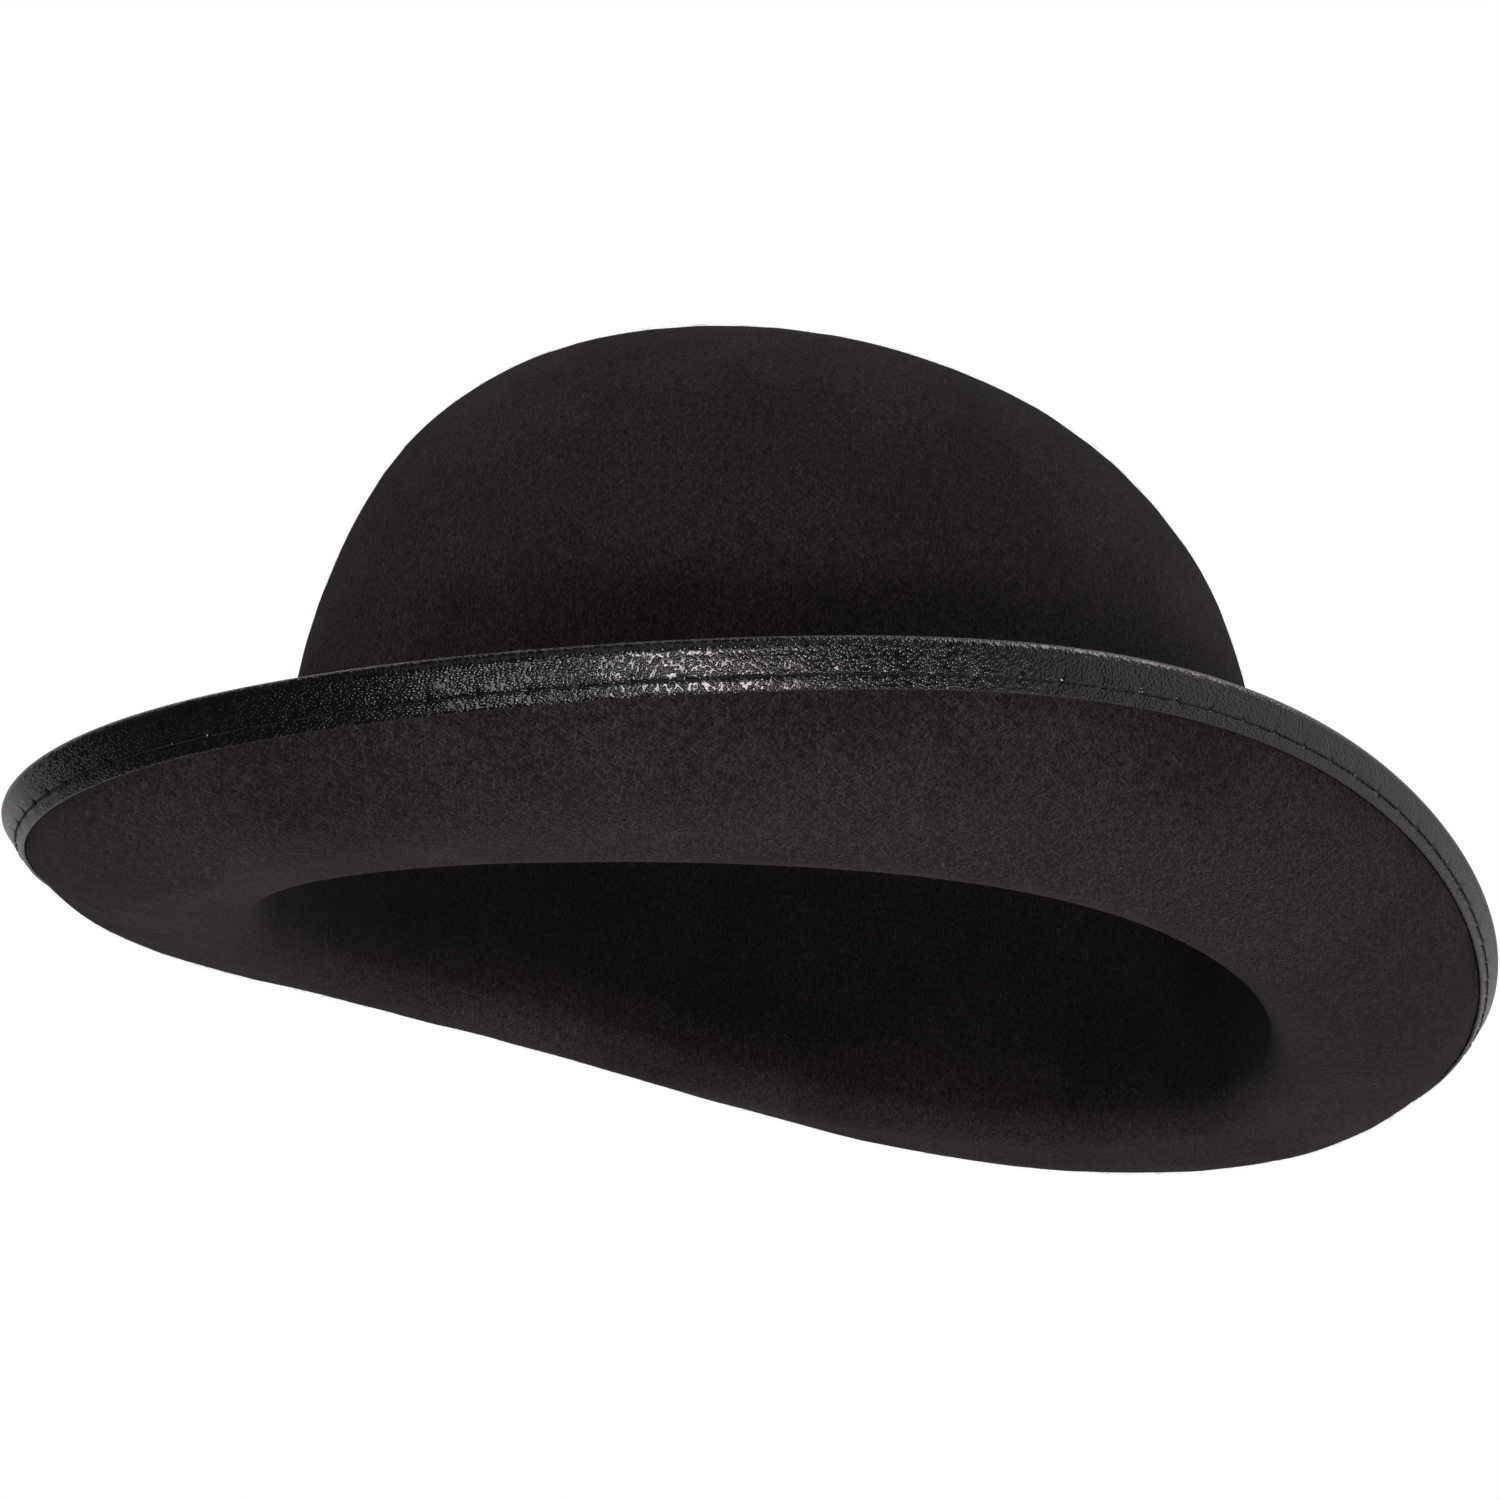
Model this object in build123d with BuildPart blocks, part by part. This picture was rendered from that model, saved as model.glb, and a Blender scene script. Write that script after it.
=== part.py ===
"""Bowler hat, life size, in millimetres.

One moulded felt body, a leatherette strip folded over the brim edge and sewn through, and a
ribbon hatband with a flat bow on the wearer's left.  +Z is up, the wearer faces -Y and the
wearer's left is +X.  The origin is the middle of the hat, on the plane that it rests on.

Everything is placed by an angle round the head and by a profile in the upright plane there,
as a distance outward from the head oval and a height.  Angle 0 is the wearer's left and
pi / 2 is the back.
"""

import os
from bisect import bisect_left
from math import cos, pi, radians, sin, tau

from build123d import *

# Felt body
head_length = 205.0
head_width = 170.0
felt_thickness = 2.2
crown_height = 120.0
crown_side_power = 4.15
crown_dome_power = 2.42
crown_taper = 0.07
crown_lean_right = 4.0
crown_lean_forward = 1.5

# Brim profile from the crown outward: rolled corner, flat, curl, straight lip
corner_radius = 8.6
brim_flat = 8.2
curl_radius = 29.5
lip_length = 3.8

# Leatherette strip folded over the brim edge, its ends lapped at the back
strip_thickness = 0.7
strip_clearance = 0.2
strip_under = 6.1
strip_over = 5.8
strip_joint = radians(97.5)
strip_lap = radians(5)
strip_ramp = radians(4)

# Lockstitch seam through the strip
stitch_pitch = 7.4
stitch_opening = 1.2
stitch_from_strip_edge = 2.3
thread_radius = 0.22
thread_clearance = 0.26
thread_tail = 3.5

# Ribbon hatband, its ends lapped under the bow
ribbon_thickness = 0.5
ribbon_clearance = 0.25
ribbon_width = 25.0
ribbon_above_corner = 1.5
ribbon_joint = radians(-7.5)
ribbon_lap = radians(10)
ribbon_ramp = radians(4)

# Thread tacks that hold the hatband to the crown
tack_count = 8
tack_length = 2.4
tack_below_top = 1.2

# Flat bow: a loop of ribbon pinched in the middle by a narrow band
bow_half_angle = radians(17)
bow_width = 21.0
bow_depth = 3.0
bow_pinch = 1.4
knot_length = 12.0

# Fineness of the smooth curves
ring_points = 48
crown_rises = (0.996, 0.985, 0.962, 0.925, 0.87, 0.8, 0.71, 0.61, 0.5, 0.38, 0.25, 0.12, 0.0)
brim_steps = 18
seam_steps = 3600


def around(angle, mean, sides=0.0, quarters=0.0, left=0.0):
    """A size that changes round the head: more at both sides, at the quarters, on the left."""
    return mean + sides * cos(2 * angle) + quarters * cos(4 * angle) + left * cos(angle)


def corner_height(angle):
    """Bottom of the crown wall: the sides ride up, front and back dip."""
    return around(angle, 0.0, sides=4.4, quarters=0.75)


def brim_slope(angle):
    return radians(around(angle, 6.1, sides=18.2, left=6.6))


def edge_slope(angle):
    return radians(around(angle, 60.7, sides=11.6, quarters=2.2, left=8.6))


def brim_stretches(angle):
    """Length and turn of each stretch of the brim's underside, from the crown wall outward."""
    corner_turn = pi / 2 + brim_slope(angle)
    curl_turn = edge_slope(angle) - brim_slope(angle)
    return (
        (corner_radius * corner_turn, corner_turn),
        (brim_flat, 0.0),
        (curl_radius * curl_turn, curl_turn),
        (lip_length, 0.0),
    )


def brim_length(angle):
    return sum(length for length, turn in brim_stretches(angle))


def brim_profile(angle, run, lift):
    """Distance outward and height, after a run along the underside and a lift into the felt."""
    outward = 0.0
    height = corner_height(angle)
    slope = -pi / 2
    for length, turn in brim_stretches(angle):
        step = min(run, length)
        next_slope = slope + turn * step / length
        if turn:
            radius = length / turn
            outward += radius * (sin(next_slope) - sin(slope))
            height += radius * (cos(slope) - cos(next_slope))
        else:
            outward += step * cos(slope)
            height += step * sin(slope)
        slope = next_slope
        run -= step
        if run <= 0:
            break
    outward += run * cos(slope) - lift * sin(slope)
    height += run * sin(slope) + lift * cos(slope)
    return outward, height


def strip_reach(angle):
    """How far the fold of the strip stands out from the head oval."""
    fold_radius = felt_thickness / 2 + strip_clearance + strip_thickness
    return brim_profile(angle, brim_length(angle), felt_thickness / 2)[0] + fold_radius


def rest_depth():
    """How far the front and back dips hang below the mean bottom of the crown wall."""
    angles = [tau * step / 180 for step in range(180)]
    runs = [0.5 * step for step in range(80)]
    return -min(brim_profile(angle, run, 0)[1] for angle in angles for run in runs)


middle_x = (strip_reach(0) - strip_reach(pi)) / 2
rest_z = -rest_depth()


def profile_plane(angle):
    """Upright plane across the brim: its X runs outward, its Y up."""
    normal = Vector(head_length * cos(angle), head_width * sin(angle), 0).normalized()
    x = head_width / 2 * cos(angle) - middle_x
    y = head_length / 2 * sin(angle)
    return Plane(origin=(x, y, -rest_z), x_dir=normal, z_dir=normal.cross(Vector(0, 0, 1)))


def brim_point(angle, run, lift):
    return profile_plane(angle).from_local_coords(Vector(*brim_profile(angle, run, lift), 0))


def crown_point(angle, rise, lift):
    """A point on the crown: rise is 0 at the bottom of the wall and 1 at the top of the dome."""
    shrink = (1 - rise**crown_side_power) ** (1 / crown_dome_power) * (1 - crown_taper * rise)
    wall = profile_plane(angle).from_local_coords(Vector(lift, 0, 0))
    x = (wall.X + middle_x) * shrink - middle_x - crown_lean_right * rise
    y = wall.Y * shrink - crown_lean_forward * rise
    top = crown_height - felt_thickness + lift
    return Vector(x, y, corner_height(angle) * (1 - rise) + top * rise - rest_z)


def wall_point(angle, height, lift):
    """A point on the crown wall at a height above the mean bottom of the wall."""
    base = corner_height(angle)
    return crown_point(angle, (height - base) / (crown_height - base), lift)


def ring(point_at):
    """Closed smooth curve through the points that point_at gives round the head."""
    points = [point_at(tau * step / ring_points) for step in range(ring_points)]
    parameters = [step / ring_points for step in range(ring_points + 1)]
    return Wire([Edge.make_spline(points, periodic=True, parameters=parameters)])


def felt_rings(lift):
    """Rings of one face of the felt, from near the top of the crown out to the brim edge."""
    crown = [ring(lambda angle: crown_point(angle, rise, lift)) for rise in crown_rises]
    brim = [
        ring(lambda angle: brim_point(angle, brim_length(angle) * step / brim_steps, lift))
        for step in range(1, brim_steps + 1)
    ]
    return crown + brim


def felt_face(rings, lift):
    """Smooth face from the top of the crown to the brim edge."""
    top = Vertex(*crown_point(0, 1, lift))
    return Shell.make_loft([top, *rings])


outer_rings = felt_rings(felt_thickness)
inner_rings = felt_rings(0)
felt_shells = (
    felt_face(outer_rings, felt_thickness),
    felt_face(inner_rings, 0),
    Shell.make_loft([outer_rings[-1], inner_rings[-1]], ruled=True),
)
with BuildPart() as felt_body:
    add(Solid(Shell([face for shell in felt_shells for face in shell.faces()])))
felt_body.part.label = "felt_body"


def band_angles(joint, lap, ramp):
    """Angles of the sections of a band that starts at its joint and laps over its own start."""
    pitch = tau / ring_points
    plain = [joint + pitch * step for step in range(ring_points) if pitch * step < tau - ramp]
    return plain + [joint + tau + part for part in (-ramp, -ramp / 2, 0, lap / 2, lap)]


def climb(angle, joint, ramp, step_up):
    """How far a band has climbed on to its own start."""
    part = min(max((angle - joint - tau + ramp) / ramp, 0), 1)
    return step_up * (1 - cos(pi * part)) / 2


def shallow_curve(start, middle, end):
    """Curve with one bend that passes through its middle point."""
    pull = tuple(2 * m - (s + e) / 2 for s, m, e in zip(start, middle, end))
    return Bezier(start, pull, end)


def strip_line(angle, gap):
    """One face of the folded strip: under the brim, round the felt edge and back over it."""
    edge = brim_length(angle)
    runs = (edge - strip_under, edge - strip_under / 2, edge)
    low = shallow_curve(*[brim_profile(angle, run, -gap) for run in runs])
    runs = (edge, edge - strip_over / 2, edge - strip_over)
    high = shallow_curve(*[brim_profile(angle, run, felt_thickness + gap) for run in runs])
    fold = brim_profile(angle, edge + felt_thickness / 2 + gap, felt_thickness / 2)
    ThreePointArc(low @ 1, fold, high @ 0)
    return low @ 0, high @ 1


strip_layer = strip_thickness + strip_clearance
with BuildPart() as edge_binding:
    for angle in band_angles(strip_joint, strip_lap, strip_ramp):
        gap = strip_clearance + climb(angle, strip_joint, strip_ramp, strip_layer)
        with BuildSketch(profile_plane(angle)):
            with BuildLine():
                near_ends = strip_line(angle, gap)
                far_ends = strip_line(angle, gap + strip_thickness)
                Line(near_ends[0], far_ends[0])
                Line(near_ends[1], far_ends[1])
            make_face()
    loft()
edge_binding.part.label = "edge_binding"


def seam_point(angle, side):
    """Middle of the thread where it lies on the strip, under the brim (-1) or over it (1)."""
    past_joint = (angle - strip_joint) % tau
    lapped = past_joint < strip_lap + strip_ramp or past_joint > tau - 2 * strip_ramp
    off_felt = strip_layer * (2 if lapped else 1) + thread_clearance + thread_radius
    lift = felt_thickness + off_felt if side > 0 else -off_felt
    return brim_point(angle, brim_length(angle) - strip_under + stitch_from_strip_edge, lift)


def seam_holes():
    """Angles of the needle holes, evenly spaced along the seam from the strip's joint."""
    fine = [strip_joint + tau * step / seam_steps for step in range(seam_steps + 1)]
    line = [seam_point(angle, -1) for angle in fine]
    travelled = [0.0]
    for start, end in zip(line, line[1:]):
        travelled.append(travelled[-1] + (end - start).length)
    count = round(travelled[-1] / stitch_pitch)
    places = [travelled[-1] * number / count for number in range(count)]
    return [fine[bisect_left(travelled, place)] for place in places]


def stitch_planes(holes, side):
    """Middle and direction of every stitch."""
    planes = []
    for start, end in zip(holes, holes[1:] + holes[:1]):
        first = seam_point(start, side)
        last = seam_point(end, side)
        planes.append(Plane(origin=(first + last) / 2, z_dir=last - first))
    return planes


holes = seam_holes()
stitch_length = stitch_pitch - stitch_opening
with BuildPart() as needle_thread:
    with Locations(*stitch_planes(holes, -1)):
        Cylinder(thread_radius, stitch_length)
    with Locations(Plane(origin=seam_point(holes[0], -1), z_dir=(0, 0, -1))):
        Cylinder(thread_radius, thread_tail, align=(Align.CENTER, Align.CENTER, Align.MIN))
needle_thread.part.label = "needle_thread"

with BuildPart() as bobbin_thread:
    with Locations(*stitch_planes(holes, 1)):
        Cylinder(thread_radius, stitch_length)
bobbin_thread.part.label = "bobbin_thread"


def ribbon_edge(angle, part, lift):
    """A point on the hatband: part is 0 at its lower edge and 1 at its upper edge."""
    height = corner_height(angle) + ribbon_above_corner + ribbon_width * part
    point = profile_plane(angle).to_local_coords(wall_point(angle, height, lift))
    return point.X, point.Y


ribbon_layer = ribbon_thickness + ribbon_clearance
with BuildPart() as hatband:
    for angle in band_angles(ribbon_joint, ribbon_lap, ribbon_ramp):
        lift = felt_thickness + ribbon_clearance
        lift += climb(angle, ribbon_joint, ribbon_ramp, ribbon_layer)
        with BuildSketch(profile_plane(angle)):
            with BuildLine():
                near = [ribbon_edge(angle, part, lift) for part in (0, 0.5, 1)]
                far = [ribbon_edge(angle, part, lift + ribbon_thickness) for part in (0, 0.5, 1)]
                shallow_curve(*near)
                shallow_curve(*far)
                Line(near[0], far[0])
                Line(near[2], far[2])
            make_face()
    loft()
hatband.part.label = "hatband"

tack_lift = felt_thickness + ribbon_layer + thread_clearance + thread_radius
with BuildPart() as band_tacks:
    for number in range(tack_count):
        angle = tau * (number + 0.4) / tack_count
        height = corner_height(angle) + ribbon_above_corner + ribbon_width - tack_below_top
        top = wall_point(angle, height, tack_lift)
        bottom = wall_point(angle, height - tack_length, tack_lift)
        with Locations(Plane(origin=(top + bottom) / 2, z_dir=top - bottom)):
            Cylinder(thread_radius, tack_length)
band_tacks.part.label = "band_tacks"


knot_lift = felt_thickness + 2 * ribbon_layer + 2 * ribbon_clearance
bow_lift = knot_lift + ribbon_layer
bow_middle = corner_height(0) + ribbon_above_corner + ribbon_width / 2


def bow_outline(height, inset):
    """Outline of the ribbon loop at one height, as seen from above."""
    parts = (-1, -0.62, -0.25, 0, 0.25, 0.62, 1)
    depths = (0.5, 1, 0.72, bow_pinch / bow_depth, 0.72, 1, 0.5)
    reach = bow_half_angle * (1 - inset / 25)
    back = [wall_point(part * reach, height, bow_lift + inset) for part in parts[1:-1]]
    front = [
        wall_point(part * reach, height, bow_lift + bow_depth * depth - inset * (depth != 0.5))
        for part, depth in zip(parts[::-1], depths)
    ]
    return Spline(*[(point.X, point.Y) for point in back + front], periodic=True)


with BuildPart() as bow_loops:
    for inset in (0, ribbon_thickness):
        for part in (-0.5, 0, 0.5):
            height = bow_middle + bow_width * part
            with BuildSketch(Plane.XY.offset(height - rest_z)):
                with BuildLine():
                    bow_outline(height, inset)
                make_face()
        loft(mode=Mode.SUBTRACT if inset else Mode.ADD)
bow_loops.part.label = "bow_loops"

knot_depth = ribbon_layer + bow_pinch + 2 * ribbon_clearance + ribbon_thickness
with BuildPart() as bow_knot:
    wall = wall_point(0, bow_middle, knot_lift)
    lean = wall_point(0, bow_middle + 1, knot_lift) - wall
    outward = Vector(0, 1, 0).cross(lean)
    with BuildSketch(Plane(origin=wall, x_dir=lean, z_dir=(0, 1, 0)).offset(-knot_length / 2)):
        with Locations((0, knot_depth / 2)):
            Rectangle(bow_width + 3, knot_depth)
            Rectangle(bow_width + 1.5, knot_depth - 2 * ribbon_thickness, mode=Mode.SUBTRACT)
    extrude(amount=knot_length)
bow_knot.part.label = "bow_knot"

os.makedirs("parts", exist_ok=True)
for piece in (
    felt_body,
    edge_binding,
    needle_thread,
    bobbin_thread,
    hatband,
    band_tacks,
    bow_loops,
    bow_knot,
):
    export_step(piece.part, f"parts/{piece.part.label}.step")
    print(piece.part.label, len(piece.part.solids()), piece.part.bounding_box().size)
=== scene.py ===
"""Bowler hat at close range: pressed felt, a sewn leatherette edge and a ribbon hatband.

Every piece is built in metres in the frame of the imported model, from the same profile of the
hat that the model has: an angle round the head, then a distance outward from the head oval and
a height.  Angle 0 is the wearer's left (+X) and pi / 2 is the back (+Y).
"""

from math import cos, pi, radians, sin, tau

import bpy
import numpy as np
from mathutils import Matrix, Vector


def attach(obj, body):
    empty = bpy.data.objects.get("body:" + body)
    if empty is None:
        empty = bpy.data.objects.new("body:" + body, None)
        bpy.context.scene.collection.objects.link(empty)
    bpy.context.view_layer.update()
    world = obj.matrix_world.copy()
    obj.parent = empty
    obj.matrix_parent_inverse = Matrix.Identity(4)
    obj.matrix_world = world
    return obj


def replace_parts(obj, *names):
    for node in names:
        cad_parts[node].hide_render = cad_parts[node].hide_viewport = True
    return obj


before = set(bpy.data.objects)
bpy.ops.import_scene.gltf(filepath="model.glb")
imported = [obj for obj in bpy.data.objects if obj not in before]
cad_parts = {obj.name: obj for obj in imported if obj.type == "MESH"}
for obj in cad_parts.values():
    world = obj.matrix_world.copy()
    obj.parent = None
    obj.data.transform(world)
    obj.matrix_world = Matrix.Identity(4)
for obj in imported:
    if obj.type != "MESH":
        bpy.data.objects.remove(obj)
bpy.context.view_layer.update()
random = np.random.default_rng(7)
MM = 0.001

# Felt body
head_length = 205.0 * MM
head_width = 170.0 * MM
felt_thickness = 2.2 * MM
crown_height = 120.0 * MM
crown_side_power = 4.15
crown_dome_power = 2.42
crown_taper = 0.07
crown_lean_right = 4.0 * MM
crown_lean_forward = 1.5 * MM
corner_radius = 8.6 * MM
brim_flat = 8.2 * MM
curl_radius = 29.5 * MM
lip_length = 3.8 * MM

# Leatherette strip, its seam and the ribbon
strip_thickness = 0.7 * MM
strip_gap = 0.1 * MM
strip_under = 6.1 * MM
strip_over = 5.8 * MM
strip_joint = radians(97.5)
strip_lap = radians(5)
strip_ramp = radians(4)
stitch_pitch = 7.4 * MM
stitch_from_strip_edge = 2.3 * MM
thread_radius = 0.22 * MM
strand_radius = 0.105 * MM
strand_offset = 0.085 * MM
thread_tail = 3.6 * MM
ribbon_thickness = 0.5 * MM
ribbon_gap = 0.15 * MM
ribbon_width = 25.0 * MM
ribbon_above_corner = 1.5 * MM
ribbon_joint = radians(-7.5)
ribbon_lap = radians(10)
ribbon_ramp = radians(4)
rib_pitch = 0.9 * MM
rib_depth = 0.07 * MM
hem_width = 0.5 * MM
hem_flattening = 0.6
tack_count = 8
tack_length = 2.4 * MM
tack_below_top = 1.2 * MM
tack_dip = 0.5 * MM
tack_slant = 0.002
tack_scatter = 0.01

# Flat bow on the wearer's left; the knot's squareness is for its height and for its depth
bow_half_length = 31.0 * MM
bow_width = 21.0 * MM
bow_depth = 3.0 * MM
bow_pinch = 1.4 * MM
bow_lift = 4.95 * MM
bow_roundness = 0.8
bow_waist = 0.14
gather_width = 8 * MM
pleat_depth = 0.22 * MM
knot_lift = 4.2 * MM
knot_depth = 3.15 * MM
knot_length = 12.0 * MM
knot_height = 24.0 * MM
knot_crown = 0.35 * MM
knot_waist = 0.08
knot_trim = 0.25 * MM
knot_squareness = (0.35, 0.6)

# Mesh of the felt: rows on the crown start just beside its top and are closest on the dome
felt_columns = 360
crown_rows = 74
brim_rows = 44
crown_top_gap = 0.012
crown_row_spread = 0.62

# Unevenness of moulded felt, pushed away from a point inside the crown
broad_bulge = 0.16 * MM
fine_bulge = 0.05 * MM
bulge_middle = 60 * MM

# Painted shade inside the crown, which darkens the felt's colour: it starts on the rolled corner and
# is darkest on one side
shaded_corner_rows = 8
shade_start = -3 * MM
shade_rise = 8 * MM
shade_change = 0.3
painted_shade_darkest_side = radians(220)

# Colours of the felt between and on its fibres, and how dark the painted shade makes it inside the
# crown
felt_shadow = (0.0112, 0.0093, 0.0090, 1)
felt_tips = (0.068, 0.0580, 0.0555, 1)
stray_tips = (0.15, 0.145, 0.14, 1)
painted_shade_tone = 0.40

# Grain of the leatherette: cells to a metre, their longer side, height, colours (the darker crease
# colour is painted shade) and roughness
grain_scale = 2000.0
grain_stretch = 0.65
grain_turn = (0.5, 0.6, 0.3)
grain_warp = 0.0006
grain_height = 0.085 * MM
painted_crease_shade = (0.0015, 0.0013, 0.0013, 1)
leatherette_cells = (0.0030, 0.0026, 0.0027, 1)
leatherette_smoothest = 0.15
leatherette_roughest = 0.20

# Loose fibres on the felt, with their lengths in millimetres
fuzz_count = 9000
fuzz_radius = 0.011 * MM
fuzz_shortest = 0.7
fuzz_longest = 2.4
fuzz_flattest = 0.02
fuzz_steepest = 0.35
fuzz_curl = 0.9
fuzz_off = 0.01 * MM
mean_radius = 95.0 * MM
brim_radius = 1.3 * mean_radius
clear_of_strip = 0.86


# ---------------------------------------------------------------- the hat's profile


def around(angle, mean, sides=0.0, quarters=0.0, left=0.0):
    """A value that changes smoothly round the hat."""
    return mean + sides * np.cos(2 * angle) + quarters * np.cos(4 * angle) + left * np.cos(angle)


def corner_height(angle):
    """Height at which the crown wall meets the rolled corner."""
    return around(angle, 0.0, sides=4.4 * MM, quarters=0.75 * MM)


def brim_slope(angle):
    """Slope of the flat part of the brim, next to the rolled corner."""
    return np.radians(around(angle, 6.1, sides=18.2, left=6.6))


def edge_slope(angle):
    """Slope of the straight lip, after the curl."""
    return np.radians(around(angle, 60.7, sides=11.6, quarters=2.2, left=8.6))


def brim_stretches(angle):
    """Length and turn of the rolled corner, the flat, the curl and the straight lip."""
    corner_turn = pi / 2 + brim_slope(angle)
    curl_turn = edge_slope(angle) - brim_slope(angle)
    return (
        (corner_radius * corner_turn, corner_turn),
        (brim_flat, 0.0),
        (curl_radius * curl_turn, curl_turn),
        (lip_length, 0.0),
    )


def brim_length(angle):
    return sum(length for length, turn in brim_stretches(angle))


def brim_profile(angle, run, lift):
    """Distance outward and height, after a run along the underside and a lift into the felt."""
    outward = 0.0
    height = corner_height(angle)
    slope = -pi / 2
    left = run
    for length, turn in brim_stretches(angle):
        step = np.clip(left, 0, length)
        next_slope = slope + turn * step / length
        chord = step * np.sinc((next_slope - slope) / tau)
        middle = (slope + next_slope) / 2
        outward = outward + chord * np.cos(middle)
        height = height + chord * np.sin(middle)
        slope = next_slope
        left = left - step
    outward = outward + left * np.cos(slope) - lift * np.sin(slope)
    height = height + left * np.sin(slope) + lift * np.cos(slope)
    return outward, height


def place(angle, outward, height):
    """Point of the row frame from an angle, a distance outward and a height."""
    facing = np.stack([head_length * np.cos(angle), head_width * np.sin(angle)])
    facing = facing / np.hypot(*facing)
    x = head_width / 2 * np.cos(angle) + facing[0] * outward
    y = head_length / 2 * np.sin(angle) + facing[1] * outward
    return np.stack(np.broadcast_arrays(x, y, height), axis=-1) + origin_shift


def brim_point(angle, run, lift):
    return place(angle, *brim_profile(angle, run, lift))


def crown_point(angle, rise, lift):
    """A point on the crown: rise is 0 at the bottom of the wall and 1 at the top of the dome."""
    shrink = (1 - rise**crown_side_power) ** (1 / crown_dome_power) * (1 - crown_taper * rise)
    wall = place(angle, lift, 0.0) - origin_shift
    top = crown_height - felt_thickness + lift
    x = wall[..., 0] * shrink - crown_lean_right * rise
    y = wall[..., 1] * shrink - crown_lean_forward * rise
    z = corner_height(angle) * (1 - rise) + top * rise
    return np.stack(np.broadcast_arrays(x, y, z), axis=-1) + origin_shift


def wall_point(angle, above_corner, lift):
    """A point on the crown wall at a height above the rolled corner."""
    return crown_point(angle, above_corner / (crown_height - corner_height(angle)), lift)


def frame_origin():
    """Shift that puts the middle of the hat and its rest plane at the row frame's origin."""
    sides = np.array([0, pi])
    fold = felt_thickness / 2 + 0.2 * MM + strip_thickness
    reach = brim_profile(sides, brim_length(sides), felt_thickness / 2)[0] + fold
    angles = np.linspace(0, tau, 181)[:, None]
    dip = brim_profile(angles, np.linspace(0, 40 * MM, 81), 0)[1].min()
    return np.array([-(reach[0] - reach[1]) / 2, 0, -dip])


origin_shift = frame_origin()


# ---------------------------------------------------------------- mesh helpers


def ramp(value, low, high):
    """Smooth step from 0 at low to 1 at high."""
    t = np.clip((value - low) / (high - low), 0, 1)
    return t * t * (3 - 2 * t)


def hump(value, width):
    """Smooth bump: 1 at 0, falling away over a width."""
    return np.exp(-((value / width) ** 2))


def mesh_object(name, vertices, faces, material):
    """A smooth mesh that rides on the hat, from faces in a list or an array."""
    mesh = bpy.data.meshes.new(name)
    mesh.from_pydata(vertices.tolist(), [], faces if isinstance(faces, list) else faces.tolist())
    mesh.polygons.foreach_set("use_smooth", [True] * len(mesh.polygons))
    mesh.materials.append(material)
    piece = bpy.data.objects.new(name, mesh)
    bpy.context.scene.collection.objects.link(piece)
    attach(piece, "root")
    return piece


def grid_faces(rows, columns, close_rows=False, close_columns=False, first=0):
    """Quads of a grid of vertices that is numbered row by row."""
    row = np.arange(rows if close_rows else rows - 1)[:, None]
    column = np.arange(columns if close_columns else columns - 1)[None, :]
    next_row = (row + 1) % rows
    next_column = (column + 1) % columns
    corners = [
        row * columns + column,
        row * columns + next_column,
        next_row * columns + next_column,
        next_row * columns + column,
    ]
    return np.stack(np.broadcast_arrays(*corners), axis=-1).reshape(-1, 4) + first


def tube_mesh(paths, radius, sides):
    """Round threads along many paths of the same number of points, closed at both ends."""
    paths = np.asarray(paths)
    count, length = paths.shape[:2]
    along = np.gradient(paths, axis=1)
    along /= np.linalg.norm(along, axis=-1, keepdims=True)
    helper = np.where(np.abs(along[..., 2:]) < 0.9, [[[0, 0, 1.0]]], [[[1.0, 0, 0]]])
    across = np.cross(along, helper)
    across /= np.linalg.norm(across, axis=-1, keepdims=True)
    up = np.cross(along, across)
    turn = tau * np.arange(sides) / sides
    taper = np.ones(length)
    taper[[0, -1]] = 0.35
    ring = across[:, :, None] * np.cos(turn)[:, None] + up[:, :, None] * np.sin(turn)[:, None]
    vertices = paths[:, :, None] + ring * (radius * taper)[:, None, None]
    body = grid_faces(length, sides, close_columns=True)
    start = np.arange(sides)[::-1]
    end = (length - 1) * sides + np.arange(sides)
    caps = [cap[[0, step, step + 1]] for cap in (start, end) for step in range(1, sides - 1)]
    first = (np.arange(count) * length * sides)[:, None]
    walls = (body.reshape(1, -1) + first).reshape(-1, 4)
    closed = (np.concatenate(caps).reshape(1, -1) + first).reshape(-1, 3)
    return vertices.reshape(-1, 3), walls.tolist() + closed.tolist()


# ---------------------------------------------------------------- materials


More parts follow.
